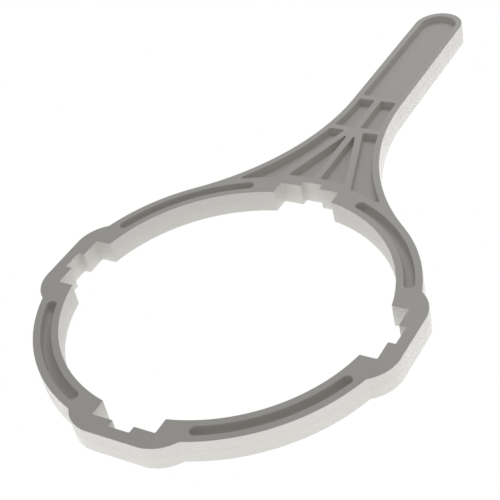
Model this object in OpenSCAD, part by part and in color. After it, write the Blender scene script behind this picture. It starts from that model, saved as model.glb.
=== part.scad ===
// Housing ring wrench: a one-piece moulded ring spanner with four stepped notches,
// a fan-ribbed neck and a recessed flat handle.
// Origin: centre of the ring on the underside. +Z is the ring axis, +X runs along the handle.

/* [Ring] */
// Radius of the round opening between the notches
ring_inner_radius = 78; // [77:0.1:79]
// Radial width of the ring band
ring_width = 12.1; // [11.8:0.1:12.4]
// Thickness of the whole wrench
thickness = 12; // [10.5:0.1:16]

/* [Notches] */
// Distance from the ring centre to the wide flat step of each notch
notch_step_reach = 84.6; // [83:0.1:86]
// Distance from the ring centre to the bottom of the narrow slot
slot_reach = 88.2; // [87:0.1:89]
// Width of the wide step
notch_width = 32.3; // [28:0.1:34]
// Width of the narrow slot
slot_width = 10.8; // [8:0.1:14]

/* [Lobes] */
// Distance from the ring centre to the flat outer side of a lobe
lobe_reach = 94; // [93.5:0.1:96]
// Length of the flat outer side
lobe_flat_length = 25.6; // [22:0.1:28]
// Radius of the rounded corner at each end of the flat
lobe_corner_radius = 18.6; // [16:0.1:20]
// Radius of the hollow fillet between lobe and ring
lobe_fillet_radius = 3.5; // [2:0.1:6]

/* [Handle] */
// Distance from the ring centre to the end of the handle
handle_reach = 259.5; // [240:0.1:280]
// Radius of the rounded handle end
handle_end_radius = 13.7; // [12:0.1:15]
// Angle at which each side widens from the end towards the neck
handle_taper = 0.33; // [0:0.01:1.5]
// Radius of the hollow sides of the neck
neck_radius = 125; // [110:1:140]

/* [Pockets] */
// Depth of every pocket and groove, the same on both faces
pocket_depth = 4.5; // [3:0.1:4.8]
// Width of the rim left around the neck and handle pockets
rim_width = 3.5; // [3:0.1:4]
// Width of the straight ribs between the pockets
rib_width = 3.8; // [3.2:0.1:4.2]
// Corner radius of the pockets
pocket_corner_radius = 1; // [0.5:0.1:1.2]
// Radius of the sharp pocket tips at the hub of the fan
fan_tip_radius = 0.6; // [0.4:0.1:0.8]
// Distance from the ring centre to the middle of the inner cross rib
inner_cross_rib_reach = 137.1; // [134:0.1:140]
// Distance from the ring centre to the middle of the outer cross rib
outer_cross_rib_reach = 166.7; // [162:0.1:172]
// Distance from the ring centre to the point where the diagonal ribs meet
fan_hub_reach = 145.2; // [142:0.1:147]
// Angle of the diagonal ribs to the handle
fan_angle = 18.4; // [17:0.1:21]
// Radius of the pocket ends nearest to the slot, inside the fan
fan_inner_pocket_radius = 92.7; // [92:0.1:95]
// Radius of the pocket ends nearest to the ring, outside the fan
fan_outer_pocket_radius = 90.6; // [90:0.1:92]

/* [Ring grooves] */
// Width of the arc grooves in the ring faces
groove_width = 5; // [4:0.1:5.5]
// Angle between the middle of a lobe and the centre of the nearest groove end
groove_end_angle = 22; // [21:0.1:26]

/* [Hidden] */
$fn = 240;
lobe_count = 4;
lobe_step = 360 / lobe_count;
ring_outer_radius = ring_inner_radius + ring_width;
groove_radius = ring_inner_radius + ring_width / 2;
cut_over = 1;
groove_overlap_angle = 1;
// Touching curves overlap by this much, so that they always cross and leave no hairline step
tangent_overlap = 0.001;
body_colour = [0.83, 0.83, 0.81];

// Directions of one straight handle side: along it towards the end, and square to it outwards
side_run = [cos(handle_taper), -sin(handle_taper)];
side_out = [sin(handle_taper), cos(handle_taper)];
handle_end_centre = [handle_reach - handle_end_radius, 0];

// Centre of the hollow neck arc, which touches the ring and the handle side
neck_centre = line_to_circle(
    handle_end_centre + (handle_end_radius + neck_radius) * side_out,
    side_run, [0, 0], ring_outer_radius + neck_radius);

// Directions of one diagonal rib: along it towards the hub, and square to it outwards
rib_run = [cos(fan_angle), -sin(fan_angle)];
rib_out = [sin(fan_angle), cos(fan_angle)];
fan_hub = [fan_hub_reach, 0];
inner_cross_near = inner_cross_rib_reach - rib_width / 2;
inner_cross_far = inner_cross_rib_reach + rib_width / 2;
outer_cross_near = outer_cross_rib_reach - rib_width / 2;
outer_cross_far = outer_cross_rib_reach + rib_width / 2;

function left_of(v) = [-v[1], v[0]];
function unit(v) = v / norm(v);

// Last point of the line p + s * u that lies on the circle
function line_to_circle(p, u, centre, radius) =
    let (w = p - centre, b = w * u)
    p + u * (sqrt(b * b - w * w + radius * radius) - b);

// Meeting point of two circles, on the left when looking from c1 to c2
function circle_to_circle(c1, r1, c2, r2) =
    let (
        d = norm(c2 - c1),
        e = (c2 - c1) / d,
        a = (d * d + r1 * r1 - r2 * r2) / (2 * d)
    )
    c1 + a * e + sqrt(r1 * r1 - a * a) * left_of(e);

// Meeting point of two straight lines
function line_to_line(p1, u1, p2, u2) =
    let (n = left_of(u2))
    p1 + u1 * (((p2 - p1) * n) / (u1 * n));

// Half width of the neck and handle at x, for an outline moved inwards by inset
function side_y(x, inset) =
    x < neck_centre[0] - (neck_radius + inset) * side_out[0]
    ? neck_centre[1] - sqrt(pow(neck_radius + inset, 2) - pow(x - neck_centre[0], 2))
    : (handle_end_radius - inset - side_out[0] * (x - handle_end_centre[0])) / side_out[1];

// Outward direction of that outline, seen from the point p inside it
function side_normal(p, inset) =
    p[0] < neck_centre[0] - (neck_radius + inset) * side_out[0]
    ? unit(neck_centre - p)
    : side_out;

// Shape of neck and handle, moved inwards by inset
module neck_outline(inset) {
    ring_touch = unit(neck_centre) * (ring_outer_radius - inset);
    side_touch = neck_centre - side_out * (neck_radius + inset);
    end_touch = handle_end_centre + side_out * (handle_end_radius - inset - tangent_overlap);
    difference() {
        union() {
            polygon([
                [0, 0],
                [ring_touch[0], -ring_touch[1]],
                [side_touch[0], -side_touch[1]],
                [end_touch[0], -end_touch[1]],
                end_touch,
                side_touch,
                ring_touch
            ]);
            translate(handle_end_centre)
                circle(r = handle_end_radius - inset);
        }
        for (side = [-1, 1])
            translate([neck_centre[0], side * neck_centre[1]])
                circle(r = neck_radius + inset + tangent_overlap);
    }
}

// Outer bulge behind one notch, with rounded corners and hollow fillets to the ring
module lobe_outline() {
    half = lobe_flat_length / 2;
    corner = [lobe_reach - lobe_corner_radius, half];
    fillet = circle_to_circle(
        [0, 0], ring_outer_radius + lobe_fillet_radius,
        corner, lobe_corner_radius + lobe_fillet_radius);
    corner_touch = corner + unit(fillet - corner) * lobe_corner_radius;
    ring_touch = unit(fillet) * ring_outer_radius;
    translate([corner[0], -half])
        square([lobe_corner_radius, lobe_flat_length]);
    for (side = [0, 1])
        mirror([0, side]) {
            translate(corner)
                circle(r = lobe_corner_radius);
            difference() {
                polygon([corner, corner_touch, ring_touch, ring_touch * 0.9]);
                translate(fillet)
                    circle(r = lobe_fillet_radius + tangent_overlap);
            }
        }
}

// Stepped notch cut outwards from the ring opening
module notch_outline() {
    translate([ring_inner_radius / 2, -notch_width / 2])
        square([notch_step_reach - ring_inner_radius / 2, notch_width]);
    translate([ring_inner_radius / 2, -slot_width / 2])
        square([slot_reach - ring_inner_radius / 2, slot_width]);
}

// Plan shape of the whole wrench
module wrench_outline() {
    difference() {
        union() {
            circle(r = ring_outer_radius);
            neck_outline(0);
            for (i = [1 : lobe_count - 1])
                rotate(i * lobe_step)
                    lobe_outline();
        }
        circle(r = ring_inner_radius);
        for (i = [0 : lobe_count - 1])
            rotate(i * lobe_step)
                notch_outline();
    }
}

// Waste outside a rounded pocket corner: centre c, radius r, unit directions to both sides
module corner_waste(c, r, a, b) {
    reach = r + cut_over;
    difference() {
        polygon([c, c + a * reach, c + (a + b) / (1 + a * b) * reach, c + b * reach]);
        translate(c)
            circle(r = r + tangent_overlap);
    }
}

// Waste at the corner between a cross rib and the outer rim; pocket_side is 1 beyond the rib
module rim_corner_waste(x, pocket_side) {
    r = pocket_corner_radius;
    c = [x + pocket_side * r, side_y(x + pocket_side * r, rim_width + r)];
    corner_waste(c, r, [-pocket_side, 0], side_normal(c, rim_width + r));
}

// Long pocket in the handle
module handle_pocket() {
    difference() {
        neck_outline(rim_width);
        translate([0, -ring_outer_radius])
            square([outer_cross_far, 2 * ring_outer_radius]);
        for (side = [0, 1])
            mirror([0, side])
                rim_corner_waste(outer_cross_far, 1);
    }
}

// Pocket between the two cross ribs, on one side of the middle rib
module waist_pocket() {
    r = pocket_corner_radius;
    foot = rib_width / 2;
    difference() {
        intersection() {
            neck_outline(rim_width);
            translate([inner_cross_far, foot])
                square([outer_cross_near - inner_cross_far, ring_outer_radius]);
        }
        rim_corner_waste(inner_cross_far, 1);
        rim_corner_waste(outer_cross_near, -1);
        corner_waste([inner_cross_far + r, foot + r], r, [-1, 0], [0, -1]);
        corner_waste([outer_cross_near - r, foot + r], r, [1, 0], [0, -1]);
    }
}

// Pocket between a diagonal rib and the outer rim
module fan_outer_pocket() {
    r = pocket_corner_radius;
    keep_out = fan_outer_pocket_radius;
    rib_edge = fan_hub + rib_out * rib_width / 2;
    hub_corner = line_to_line(rib_edge, rib_run, [inner_cross_near, 0], [0, 1]);
    ring_end = line_to_circle(rib_edge, rib_run, [0, 0], keep_out - 2 * cut_over);
    ring_touch = unit(neck_centre) * (ring_outer_radius - cut_over);
    tip = circle_to_circle(neck_centre, neck_radius + rim_width + r, [0, 0], keep_out + r);
    foot = line_to_circle(rib_edge + rib_out * r, rib_run, [0, 0], keep_out + r);
    hub = line_to_line(rib_edge + rib_out * r, rib_run, [inner_cross_near - r, 0], [0, 1]);
    difference() {
        polygon([hub_corner, [inner_cross_near, neck_centre[1] / 2], ring_touch, ring_end]);
        translate(neck_centre)
            circle(r = neck_radius + rim_width);
        circle(r = keep_out);
        rim_corner_waste(inner_cross_near, -1);
        corner_waste(tip, r, unit(neck_centre - tip), -unit(tip));
        corner_waste(foot, r, -unit(foot), -rib_out);
        corner_waste(hub, r, -rib_out, [1, 0]);
    }
}

// Pocket between a diagonal rib and the middle rib
module fan_inner_pocket() {
    r = pocket_corner_radius;
    foot = rib_width / 2;
    keep_out = fan_inner_pocket_radius;
    rib_edge = fan_hub - rib_out * foot;
    hub_corner = line_to_line(rib_edge, rib_run, [0, foot], [1, 0]);
    ring_end = line_to_circle(rib_edge, rib_run, [0, 0], keep_out - 2 * cut_over);
    outer = line_to_circle(rib_edge - rib_out * r, rib_run, [0, 0], keep_out + r);
    inner = line_to_circle([0, foot + r], [1, 0], [0, 0], keep_out + r);
    tip = line_to_line(
        rib_edge - rib_out * fan_tip_radius, rib_run,
        [0, foot + fan_tip_radius], [1, 0]);
    difference() {
        polygon([hub_corner, ring_end, [keep_out - 2 * cut_over, foot]]);
        circle(r = keep_out);
        corner_waste(outer, r, -unit(outer), rib_out);
        corner_waste(inner, r, -unit(inner), [0, -1]);
        corner_waste(tip, fan_tip_radius, rib_out, [0, -1]);
    }
}

// All neck and handle pockets of one face
module pocket_outlines() {
    handle_pocket();
    for (side = [0, 1])
        mirror([0, side]) {
            waist_pocket();
            fan_outer_pocket();
            fan_inner_pocket();
        }
}

// Half of an arc groove, from its round end at the given angle to just past the middle
module ring_groove_half(height) {
    sweep = lobe_step / 2 - groove_end_angle + groove_overlap_angle;
    rotate(groove_end_angle) {
        rotate_extrude(angle = sweep)
            translate([groove_radius - groove_width / 2, 0])
                square([groove_width, height]);
        translate([groove_radius, 0, 0])
            cylinder(r = groove_width / 2, h = height);
    }
}

// Everything cut into one face, from z = 0 upwards
module face_recesses(height) {
    linear_extrude(height)
        pocket_outlines();
    for (i = [0 : lobe_count - 1], side = [0, 1])
        rotate(i * lobe_step)
            mirror([side, -side, 0])
                ring_groove_half(height);
}

module wrench_body() {
    height = pocket_depth + cut_over;
    color(body_colour)
        difference() {
            linear_extrude(thickness)
                wrench_outline();
            translate([0, 0, -cut_over])
                face_recesses(height);
            translate([0, 0, thickness - pocket_depth])
                face_recesses(height);
        }
}

wrench_body();
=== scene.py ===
"""Looks of a moulded plastic housing ring wrench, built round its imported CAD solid.

The CAD solid has sharp edges and square walls. This script reads the outlines of its faces and
builds the moulding that a tool would really make from them: drafted walls, a parting line at
mid-height, rounded edges, and recesses with filleted floors.
"""

import math

import bmesh
import bpy
from mathutils import Matrix, Quaternion, Vector


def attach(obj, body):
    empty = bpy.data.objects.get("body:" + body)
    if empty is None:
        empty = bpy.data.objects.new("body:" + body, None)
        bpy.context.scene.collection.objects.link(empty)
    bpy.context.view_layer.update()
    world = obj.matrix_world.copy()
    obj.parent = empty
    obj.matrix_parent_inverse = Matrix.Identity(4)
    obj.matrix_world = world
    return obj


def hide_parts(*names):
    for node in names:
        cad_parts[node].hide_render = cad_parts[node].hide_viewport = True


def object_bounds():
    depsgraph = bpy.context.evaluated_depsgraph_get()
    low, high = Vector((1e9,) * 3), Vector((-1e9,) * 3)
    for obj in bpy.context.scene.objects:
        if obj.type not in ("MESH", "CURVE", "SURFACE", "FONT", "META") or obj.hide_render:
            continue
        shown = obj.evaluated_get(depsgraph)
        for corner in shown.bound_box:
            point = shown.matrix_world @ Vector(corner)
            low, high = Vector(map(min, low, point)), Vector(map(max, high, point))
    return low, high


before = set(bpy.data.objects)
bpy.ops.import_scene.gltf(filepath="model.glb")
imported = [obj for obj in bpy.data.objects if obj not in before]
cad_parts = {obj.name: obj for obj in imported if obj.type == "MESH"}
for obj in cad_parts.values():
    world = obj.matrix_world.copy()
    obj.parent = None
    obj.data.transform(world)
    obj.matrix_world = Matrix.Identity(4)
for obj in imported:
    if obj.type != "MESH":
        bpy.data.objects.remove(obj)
cad_low, cad_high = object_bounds()

MM = 0.001

# ---------------------------------------------------------------- moulding details, in metres
NODE = "wrench_body"
EDGE_RADIUS = 0.3 * MM         # rounding of the outer and inner edges
LIP_RADIUS = 0.35 * MM         # rounding of the edges of the recesses
FLOOR_FILLET = 1.8 * MM        # largest hollow rounding round the floor of a recess
FILLET_SHARE = 0.7             # of a recess's tightest corner radius that its fillet may take
CORNER_RADIUS = 0.6 * MM       # rounding in plan of corners that are sharp in CAD
WALL_DRAFT = math.radians(0.5)     # from the parting line towards both faces
RECESS_DRAFT = math.radians(1.0)
PARTING_HEIGHT = 0.05 * MM     # how far the parting line stands out of the wall
PARTING_WIDTH = 0.35 * MM
ROUNDING_STEPS = 5
CHORD_ERROR = 0.008 * MM       # how far a chord may lie from its true arc
LONGEST_EDGE = 4 * MM
LARGEST_ARC_STEP = math.radians(12)

# ---------------------------------------------------------------- colours, linear
PLASTIC_DARK = (0.665, 0.656, 0.625, 1)
PLASTIC_PALE = (0.715, 0.706, 0.679, 1)
RUBBED_EDGE = (0.80, 0.80, 0.79, 1)
RUBBED_SHARE = 0.5             # of the rubbed colour on the most worn crowns
# Painted shade: a warm grey mixed into the hollow corners of the recesses, in place of the shade that
# falls there
HOLLOW_SHADE = (0.42, 0.41, 0.36, 1)
HOLLOW_SHADE_SHARE = 0.1               # of the painted shade's colour in the deepest hollows
PAPER = (0.9, 0.9, 0.9, 1)
SKY_COLOUR = (1.0, 0.99, 0.975, 1)

# ---------------------------------------------------------------- sizes of the plastic's texture
FLOW_SCALE = 22.0              # waves per metre of each noise
RUB_SCALE = 260.0
GRAIN_SCALE = 1800.0
GLOSS_SCALE = 120.0
GRAIN_HEIGHT = 0.02 * MM
GRAIN_STRENGTH = 0.25
SMOOTHEST = 0.42               # range of the roughness
ROUGHEST = 0.58

# ---------------------------------------------------------------- light
SKY_GLOW = 0.33
FLOOR_GLOW = 1.2
SHADED_GLOW = 0.80             # of the floor inside the ring, which the ring shades
SHADE_INNER = 70 * MM          # radius up to which the floor is fully shaded
SHADE_OUTER = 100 * MM
HANDLE_GLOW = 0.9              # share of the floor's glow that is left beside the handle
FADE_START = 90 * MM           # along the handle, from where the glow starts to fade
FADE_END = 170 * MM
PLAIN_WHITE = 1.0              # how the camera sees the floor and the sky
BOX_PLACE = Vector((0.35, 0.0, 0.45))
BOX_SIZE = 0.25
BOX_WATTS = 0.40

# ---------------------------------------------------------------- floor and camera, in metres
FLOOR_SIZE = 40.0
FLOOR_GAP = 0.1 * MM
CAMERA_AIM = Vector((31.99 * MM, 4.68 * MM))
CAMERA_DISTANCE = 612.6 * MM
CAMERA_HEADING = math.radians(37.90)
CAMERA_ELEVATION = math.radians(37.34)
CAMERA_ROLL = math.radians(-13.51)
CAMERA_LENS = 93.24            # millimetres, on a 36 mm sensor


# ---------------------------------------------------------------- plan outlines from the CAD mesh
def turn_left(v):
    return Vector((-v.y, v.x))


def signed_angle(a, b):
    return math.atan2(a.x * b.y - a.y * b.x, a.dot(b))


def flat_faces(mesh, height):
    """The polygons of a mesh that lie flat at a height and face up."""
    tolerance = 0.001 * MM
    for face in mesh.polygons:
        level = all(abs(mesh.vertices[i].co.z - height) < tolerance for i in face.vertices)
        if level and face.normal.z > 0.5:
            yield face


def outlines_at(mesh, height):
    """Closed loops of plan points round the flat faces at a height, with the solid on the left."""
    decimals = 7
    edges = set()
    for face in flat_faces(mesh, height):
        ring = [mesh.vertices[i].co for i in face.vertices]
        ring = [(round(p.x, decimals), round(p.y, decimals)) for p in ring]
        edges.update(zip(ring, ring[1:] + ring[:1]))
    follow = {a: b for a, b in edges if (b, a) not in edges}
    loops = []
    while follow:
        start = min(follow)
        loop = [start]
        point = follow.pop(start)
        while point != start:
            loop.append(point)
            point = follow.pop(point)
        loops.append([Vector(p) for p in loop])
    return loops


def circle_centre(a, b, c):
    """Centre of the circle through three plan points."""
    ab, ac = b - a, c - a
    cross = 2 * (ab.x * ac.y - ab.y * ac.x)
    x = (ac.y * ab.length_squared - ab.y * ac.length_squared) / cross
    y = (ab.x * ac.length_squared - ac.x * ab.length_squared) / cross
    return a + Vector((x, y))


def arc_centres(loop):
    """For each side of a loop, the centre of the arc that it is a chord of, or None if straight."""
    count = len(loop)
    largest_turn = math.radians(20)
    smallest_turn = math.radians(0.02)
    centres = [None] * count
    for i in range(count):
        before, here, after = loop[i - 1], loop[i], loop[(i + 1) % count]
        first, second = here - before, after - here
        turn = abs(signed_angle(first, second))
        even = abs(first.length - second.length) < 0.004 * first.length
        if even and smallest_turn < turn < largest_turn:
            centre = circle_centre(before, here, after)
            centres[i - 1] = centre
            centres[i] = centre
    return centres


def side_points(start, end, centre):
    """Points and left normals along one side, from its start up to and including its end."""
    if centre is None:
        steps = max(1, math.ceil((end - start).length / LONGEST_EDGE))
        normal = turn_left(end - start).normalized()
        return [(start.lerp(end, k / steps), normal) for k in range(steps + 1)]
    arm, last_arm = start - centre, end - centre
    angle = signed_angle(arm, last_arm)
    radius = arm.length
    step = min(2 * math.acos(1 - CHORD_ERROR / radius), LARGEST_ARC_STEP)
    steps = max(1, math.ceil(abs(angle) / step))
    inward = -1 if angle > 0 else 1
    points = []
    for k in range(steps + 1):
        direction = arm.copy()
        direction.rotate(Matrix.Rotation(angle * k / steps, 2))
        points.append((centre + direction, direction.normalized() * inward))
    return points


def rounded_corner(corner, normal_in, normal_out):
    """Points and normals of a small arc in place of a sharp corner, with its radius."""
    turn = signed_angle(normal_in, normal_out)
    bend = 1 if turn > 0 else -1
    trim = CORNER_RADIUS * math.tan(abs(turn) / 2)
    run_in = -turn_left(normal_in)
    centre = corner - run_in * trim + normal_in * (bend * CORNER_RADIUS)
    steps = math.ceil(abs(turn) / LARGEST_ARC_STEP)
    points = []
    for k in range(steps + 1):
        normal = normal_in.copy()
        normal.rotate(Matrix.Rotation(turn * k / steps, 2))
        points.append((centre - normal * (bend * CORNER_RADIUS), normal))
    return points


def smooth_outline(loop):
    """A loop as closely spaced points with exact left normals, its arcs made true again."""
    count = len(loop)
    centres = arc_centres(loop)
    sides = [side_points(loop[i], loop[(i + 1) % count], centres[i]) for i in range(count)]
    sharp = math.radians(8)
    points = []
    for i, side in enumerate(sides):
        normal_in, normal_out = sides[i - 1][-1][1], side[0][1]
        if abs(signed_angle(normal_in, normal_out)) > sharp:
            points += rounded_corner(side[0][0], normal_in, normal_out)
        else:
            points.append((side[0][0], (normal_in + normal_out).normalized()))
        points += side[1:-1]
    return points


def tightest_hollow(outline):
    """Smallest radius of an outline where it curves away from the solid."""
    smallest = 1.0
    count = len(outline)
    for i in range(count):
        (here, normal), (there, next_normal) = outline[i], outline[(i + 1) % count]
        turn = signed_angle(normal, next_normal)
        if turn < -math.radians(1):
            smallest = min(smallest, (there - here).length / -turn)
    return smallest


def area(outline):
    """Signed area of an outline, above zero where the solid lies inside it."""
    points = [p for p, _ in outline]
    return sum(a.x * b.y - a.y * b.x for a, b in zip(points, points[1:] + points[:1])) / 2


# ---------------------------------------------------------------- profiles through the thickness
# A profile point is (offset into the solid, height, normal outwards, normal upwards, relief).
# Relief is 1 on the crown of an edge, -1 in a hollow corner and 0 on flat surfaces.
def edge_profile(offset_at_edge, top, radius, draft):
    """Rounding from a flat top face down to a drafted wall that meets the edge at an offset."""
    centre = offset_at_edge + radius * (math.cos(draft) - math.tan(draft) * (1 - math.sin(draft)))
    points = []
    for k in range(ROUNDING_STEPS + 1):
        angle = math.pi / 2 + (draft - math.pi / 2) * k / ROUNDING_STEPS
        relief = math.sin(math.pi * k / ROUNDING_STEPS)
        points.append((
            centre - radius * math.cos(angle),
            top - radius + radius * math.sin(angle),
            math.cos(angle), math.sin(angle), relief))
    return points


def parting_profile(middle, bulge):
    """Upper half of the ridge where the mould's halves meet, with its crest a bulge outside."""
    points = []
    for k in range(ROUNDING_STEPS):
        share = 1 - k / ROUNDING_STEPS
        height = share * PARTING_WIDTH / 2
        bump = (1 + math.cos(math.pi * share)) / 2
        slope = (math.tan(WALL_DRAFT)
                 + PARTING_HEIGHT * math.pi / PARTING_WIDTH * math.sin(math.pi * share))
        length = math.hypot(1, slope)
        offset = PARTING_HEIGHT * (1 - bump) + height * math.tan(WALL_DRAFT) - bulge
        points.append((offset, middle + height, 1 / length, slope / length, 0.0))
    return points


def wall_profile(top):
    """From the top face down to the underside, over a wall that bulges out to a middle ridge."""
    middle = top / 2
    bulge = PARTING_HEIGHT + middle * math.tan(WALL_DRAFT)
    upper = edge_profile(0.0, top, EDGE_RADIUS, WALL_DRAFT) + parting_profile(middle, bulge)
    lower = [(d, top - z, out, -up, relief) for d, z, out, up, relief in reversed(upper)]
    return upper + [(-bulge, middle, 1.0, 0.0, 0.0)] + lower


def recess_profile(top, floor, fillet):
    """From the top face over the lip of a recess and down to its floor."""
    lean = math.tan(RECESS_DRAFT)
    points = edge_profile(0.0, top, LIP_RADIUS, RECESS_DRAFT)
    reach = lean * (top - floor - fillet * (1 - math.sin(RECESS_DRAFT)))
    centre = -reach - fillet * math.cos(RECESS_DRAFT)
    for k in range(ROUNDING_STEPS + 1):
        angle = RECESS_DRAFT + (math.pi / 2 - RECESS_DRAFT) * k / ROUNDING_STEPS
        points.append((
            centre + fillet * math.cos(angle),
            floor + fillet - fillet * math.sin(angle),
            math.cos(angle), math.sin(angle), -math.sin(math.pi * k / ROUNDING_STEPS)))
    return points


# ---------------------------------------------------------------- the moulding's mesh
class Sheeting:
    """A mesh under construction, with its exact normals and relief values."""

    def __init__(self):
        self.mesh = bmesh.new()
        self.normals = []
        self.relief = []

    def ring(self, outline, profile_point, height, upwards):
        """One closed ring of vertices, at a point of the profile."""
        offset, _, out, up, relief = profile_point
        vertices = []
        for point, normal in outline:
            place = point + normal * offset
            vertices.append(self.mesh.verts.new((place.x, place.y, height)))
            self.normals.append(Vector((-normal.x * out, -normal.y * out, up * upwards)))
            self.relief.append(relief)
        return vertices

    def sweep(self, outline, profile, top, upwards=1):
        """A strip round an outline; upwards -1 mirrors it to the underside. Returns its end rings."""
        rings = []
        for profile_point in profile:
            height = profile_point[1] if upwards > 0 else top - profile_point[1]
            rings.append(self.ring(outline, profile_point, height, upwards))
        count = len(outline)
        for above, below in zip(rings, rings[1:]):
            for i in range(count):
                j = (i + 1) % count
                corners = [above[i], below[i], below[j], above[j]]
                self.mesh.faces.new(corners if upwards > 0 else corners[::-1])
        return rings[0], rings[-1]

    def fill(self, rings, upwards):
        """A flat face between rings, the first of them round its outside."""
        edges = []
        for ring in rings:
            for pair in zip(ring, ring[1:] + ring[:1]):
                edges.append(self.mesh.edges.get(pair) or self.mesh.edges.new(pair))
        made = bmesh.ops.triangle_fill(
            self.mesh, edges=edges, use_beauty=True, normal=(0, 0, upwards))
        for face in made["geom"]:
            if isinstance(face, bmesh.types.BMFace):
                face.normal_update()
                if face.normal.z * upwards < 0:
                    face.normal_flip()

    def finish(self, name):
        """The finished object, smooth shaded with the exact normals."""
        data = bpy.data.meshes.new(name)
        self.mesh.to_mesh(data)
        self.mesh.free()
        data.shade_smooth()
        data.normals_split_custom_set_from_vertices(self.normals)
        relief = data.attributes.new("relief", "FLOAT", "POINT")
        relief.data.foreach_set("value", self.relief)
        piece = bpy.data.objects.new(name, data)
        bpy.context.scene.collection.objects.link(piece)
        return piece


def plan_outlines(cad_mesh):
    """Outlines of the wrench, of its opening, and a list of those of its recesses."""
    outlines = [smooth_outline(loop) for loop in outlines_at(cad_mesh, cad_high.z)]
    outlines.sort(key=area)
    return outlines[-1], outlines[0], outlines[1:-1]


def build_moulding(name, cad_mesh):
    """The whole wrench as one closed mesh, from the outlines of the CAD solid's top face."""
    top = cad_high.z
    outside, opening, recesses = plan_outlines(cad_mesh)
    floor = recess_floor(cad_mesh)

    moulding = Sheeting()
    top_rings, under_rings = [], []
    for outline in (outside, opening):
        upper, lower = moulding.sweep(outline, wall_profile(top), top)
        top_rings.append(upper)
        under_rings.append(lower)
    for outline in recesses:
        fillet = min(FLOOR_FILLET, FILLET_SHARE * tightest_hollow(outline))
        profile = recess_profile(top, floor, fillet)
        for upwards, face_rings in ((1, top_rings), (-1, under_rings)):
            mouth, bottom = moulding.sweep(outline, profile, top, upwards)
            face_rings.append(mouth)
            moulding.fill([bottom], upwards)
    moulding.fill(top_rings, 1)
    moulding.fill(under_rings, -1)
    return moulding.finish(name)


def recess_floor(mesh):
    """Height of the floor of the recesses in the top face."""
    middle, top = cad_high.z / 2, cad_high.z
    levels = [mesh.vertices[f.vertices[0]].co.z for f in mesh.polygons if f.normal.z > 0.99]
    return max(z for z in levels if middle < z < top - MM)


# ---------------------------------------------------------------- material
def add_node(tree, kind, inputs=None, **settings):
    """A shader node with its settings and input values set."""
    node = tree.nodes.new(kind)
    for name, value in settings.items():
        setattr(node, name, value)
    for name, value in (inputs or {}).items():
        node.inputs[name].default_value = value
    return node


def moulded_plastic():
    """Pale grey satin plastic: flow marks, fine grain, rubbed edges and painted shade in the corners.
    """
    material = bpy.data.materials.new("moulded_plastic")
    material.use_nodes = True
    tree = material.node_tree
    tree.nodes.clear()
    link = tree.links.new

    place = add_node(tree, "ShaderNodeTexCoord")
    relief = add_node(tree, "ShaderNodeAttribute", attribute_name="relief")

    # Slow drift of colour and gloss, from the way the melt filled the mould
    flow = add_node(tree, "ShaderNodeTexNoise", {
        "Scale": FLOW_SCALE, "Detail": 3.0, "Roughness": 0.5})
    link(place.outputs["Object"], flow.inputs["Vector"])
    colour = add_node(tree, "ShaderNodeMix", data_type="RGBA")
    colour.inputs["A"].default_value = PLASTIC_DARK
    colour.inputs["B"].default_value = PLASTIC_PALE
    link(flow.outputs["Fac"], colour.inputs["Factor"])

    # Edges are rubbed paler in patches
    rub = add_node(tree, "ShaderNodeTexNoise", {
        "Scale": RUB_SCALE, "Detail": 4.0, "Roughness": 0.6})
    link(place.outputs["Object"], rub.inputs["Vector"])
    rub_patches = add_node(tree, "ShaderNodeMapRange", {
        "From Min": 0.48, "From Max": 0.66, "To Min": 0.0, "To Max": RUBBED_SHARE})
    link(rub.outputs["Fac"], rub_patches.inputs["Value"])
    rub_amount = add_node(tree, "ShaderNodeMath", operation="MULTIPLY", use_clamp=True)
    link(rub_patches.outputs["Result"], rub_amount.inputs[0])
    link(relief.outputs["Fac"], rub_amount.inputs[1])
    rubbed = add_node(tree, "ShaderNodeMix", data_type="RGBA")
    rubbed.inputs["B"].default_value = RUBBED_EDGE
    link(rub_amount.outputs["Value"], rubbed.inputs["Factor"])
    link(colour.outputs["Result"], rubbed.inputs["A"])

    # Painted shade: the hollow corners of the recesses are darkened with a warm grey
    hollow = add_node(tree, "ShaderNodeMath", {1: -HOLLOW_SHADE_SHARE}, operation="MULTIPLY",
                      use_clamp=True)
    link(relief.outputs["Fac"], hollow.inputs[0])
    hollow_shaded = add_node(tree, "ShaderNodeMix", data_type="RGBA")
    hollow_shaded.inputs["B"].default_value = HOLLOW_SHADE
    link(hollow.outputs["Value"], hollow_shaded.inputs["Factor"])
    link(rubbed.outputs["Result"], hollow_shaded.inputs["A"])

    # Satin finish of the mould: a fine grain in height, and a broader one in gloss
    grain = add_node(tree, "ShaderNodeTexNoise", {"Scale": GRAIN_SCALE, "Detail": 2.0})
    link(place.outputs["Object"], grain.inputs["Vector"])
    bump = add_node(tree, "ShaderNodeBump", {
        "Strength": GRAIN_STRENGTH, "Distance": GRAIN_HEIGHT})
    link(grain.outputs["Fac"], bump.inputs["Height"])
    gloss = add_node(tree, "ShaderNodeTexNoise", {"Scale": GLOSS_SCALE, "Detail": 5.0})
    link(place.outputs["Object"], gloss.inputs["Vector"])
    roughness = add_node(tree, "ShaderNodeMapRange", {
        "From Min": 0.3, "From Max": 0.7, "To Min": SMOOTHEST, "To Max": ROUGHEST})
    link(gloss.outputs["Fac"], roughness.inputs["Value"])

    shader = add_node(tree, "ShaderNodeBsdfPrincipled", {"IOR": 1.49})
    link(hollow_shaded.outputs["Result"], shader.inputs["Base Color"])
    link(roughness.outputs["Result"], shader.inputs["Roughness"])
    link(bump.outputs["Normal"], shader.inputs["Normal"])
    output = add_node(tree, "ShaderNodeOutputMaterial")
    link(shader.outputs["BSDF"], output.inputs["Surface"])
    return material


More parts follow.
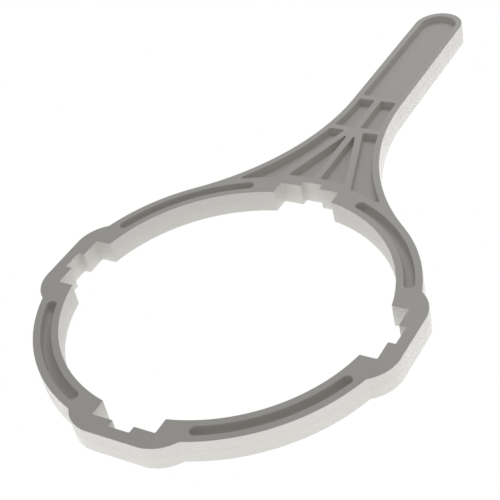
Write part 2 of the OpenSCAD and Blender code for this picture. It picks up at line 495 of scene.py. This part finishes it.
# ---------------------------------------------------------------- floor, light and camera
def lit_floor(cad_mesh):
    """A pale floor that glows like a light table, cut away where the wrench covers it."""
    half = FLOOR_SIZE / 2
    no_normal = Vector((0, 0))
    square = [(Vector((x * half, y * half)), no_normal)
              for x, y in ((-1, -1), (1, -1), (1, 1), (-1, 1))]
    outside, opening, _ = plan_outlines(cad_mesh)
    level = (0.0, 0.0, 0.0, 1.0, 0.0)
    sheet = Sheeting()
    rings = [sheet.ring(outline, level, 0.0, 1) for outline in (square, outside, opening)]
    sheet.fill(rings[:2], 1)
    sheet.fill(rings[2:], 1)
    floor = sheet.finish("floor")
    floor.location.z = cad_low.z - FLOOR_GAP
    floor.data.materials.append(floor_paper())


def floor_paper():
    """Glowing paper that the camera sees as plain white from above, and not at all from below."""
    material = bpy.data.materials.new("floor_paper")
    material.cycles.emission_sampling = "NONE"    # a sheet this wide is found well by bounces
    material.use_nodes = True
    tree = material.node_tree
    tree.nodes.clear()
    link = tree.links.new
    place = add_node(tree, "ShaderNodeNewGeometry")
    radius = add_node(tree, "ShaderNodeVectorMath", operation="LENGTH")
    link(place.outputs["Position"], radius.inputs["Vector"])
    strength = add_node(tree, "ShaderNodeMapRange", {
        "From Min": SHADE_INNER, "From Max": SHADE_OUTER,
        "To Min": SHADED_GLOW, "To Max": FLOOR_GLOW}, interpolation_type="SMOOTHSTEP")
    link(radius.outputs["Value"], strength.inputs["Value"])
    along = add_node(tree, "ShaderNodeSeparateXYZ")
    link(place.outputs["Position"], along.inputs["Vector"])
    fade = add_node(tree, "ShaderNodeMapRange", {
        "From Min": FADE_START, "From Max": FADE_END,
        "To Min": 1.0, "To Max": HANDLE_GLOW}, interpolation_type="SMOOTHSTEP")
    link(along.outputs["X"], fade.inputs["Value"])
    faded = add_node(tree, "ShaderNodeMath", operation="MULTIPLY")
    link(strength.outputs["Result"], faded.inputs[0])
    link(fade.outputs["Result"], faded.inputs[1])
    glow = add_node(tree, "ShaderNodeEmission")
    link(faded.outputs["Value"], glow.inputs["Strength"])
    paper = add_node(tree, "ShaderNodeBsdfDiffuse", {"Color": PAPER})
    both = add_node(tree, "ShaderNodeAddShader")
    link(paper.outputs["BSDF"], both.inputs[0])
    link(glow.outputs["Emission"], both.inputs[1])

    white = add_node(tree, "ShaderNodeEmission", {"Strength": PLAIN_WHITE})
    rays = add_node(tree, "ShaderNodeLightPath")
    seen = add_node(tree, "ShaderNodeMixShader")
    link(rays.outputs["Is Camera Ray"], seen.inputs["Fac"])
    link(both.outputs["Shader"], seen.inputs[1])
    link(white.outputs["Emission"], seen.inputs[2])

    clear = add_node(tree, "ShaderNodeBsdfTransparent")
    one_sided = add_node(tree, "ShaderNodeMixShader")
    link(place.outputs["Backfacing"], one_sided.inputs["Fac"])
    link(seen.outputs["Shader"], one_sided.inputs[1])
    link(clear.outputs["BSDF"], one_sided.inputs[2])
    output = add_node(tree, "ShaderNodeOutputMaterial")
    link(one_sided.outputs["Shader"], output.inputs["Surface"])
    return material


def studio_sky():
    """A soft tent of even light that the camera sees as plain white."""
    world = bpy.data.worlds.new("studio")
    world.use_nodes = True
    tree = world.node_tree
    tree.nodes.clear()
    link = tree.links.new
    light = add_node(tree, "ShaderNodeBackground", {"Color": SKY_COLOUR, "Strength": SKY_GLOW})
    white = add_node(tree, "ShaderNodeBackground", {"Strength": PLAIN_WHITE})
    white.inputs["Color"].default_value = (1, 1, 1, 1)
    rays = add_node(tree, "ShaderNodeLightPath")
    seen = add_node(tree, "ShaderNodeMixShader")
    link(rays.outputs["Is Camera Ray"], seen.inputs["Fac"])
    link(light.outputs["Background"], seen.inputs[1])
    link(white.outputs["Background"], seen.inputs[2])
    output = add_node(tree, "ShaderNodeOutputWorld")
    link(seen.outputs["Shader"], output.inputs["Surface"])
    bpy.context.scene.world = world


def soft_box():
    """A square lamp over the end of the handle, facing straight down."""
    data = bpy.data.lights.new("soft_box", "AREA")
    data.shape = "SQUARE"
    data.size = BOX_SIZE
    data.energy = BOX_WATTS
    light = bpy.data.objects.new("soft_box", data)
    light.location = BOX_PLACE
    bpy.context.scene.collection.objects.link(light)


def photo_camera():
    """The camera at the photograph's viewing angle."""
    data = bpy.data.cameras.new("camera")
    data.sensor_width = 36.0
    data.lens = CAMERA_LENS
    data.clip_start = 10 * MM
    data.clip_end = FLOOR_SIZE
    camera = bpy.data.objects.new("camera", data)
    forwards = Vector((
        math.cos(CAMERA_ELEVATION) * math.cos(CAMERA_HEADING),
        math.cos(CAMERA_ELEVATION) * math.sin(CAMERA_HEADING),
        -math.sin(CAMERA_ELEVATION)))
    camera.location = Vector((CAMERA_AIM.x, CAMERA_AIM.y, cad_high.z)) - forwards * CAMERA_DISTANCE
    turn = forwards.to_track_quat("-Z", "Y") @ Quaternion((0, 0, 1), CAMERA_ROLL)
    camera.rotation_euler = turn.to_euler()
    bpy.context.scene.collection.objects.link(camera)
    bpy.context.scene.camera = camera


# ---------------------------------------------------------------- the scene
piece = build_moulding("wrench_moulding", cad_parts[NODE].data)
piece.data.materials.append(moulded_plastic())
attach(piece, "root")
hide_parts(NODE)

lit_floor(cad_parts[NODE].data)
studio_sky()
soft_box()
photo_camera()
bpy.context.scene.view_settings.view_transform = "Standard"
bpy.context.scene.view_settings.look = "None"
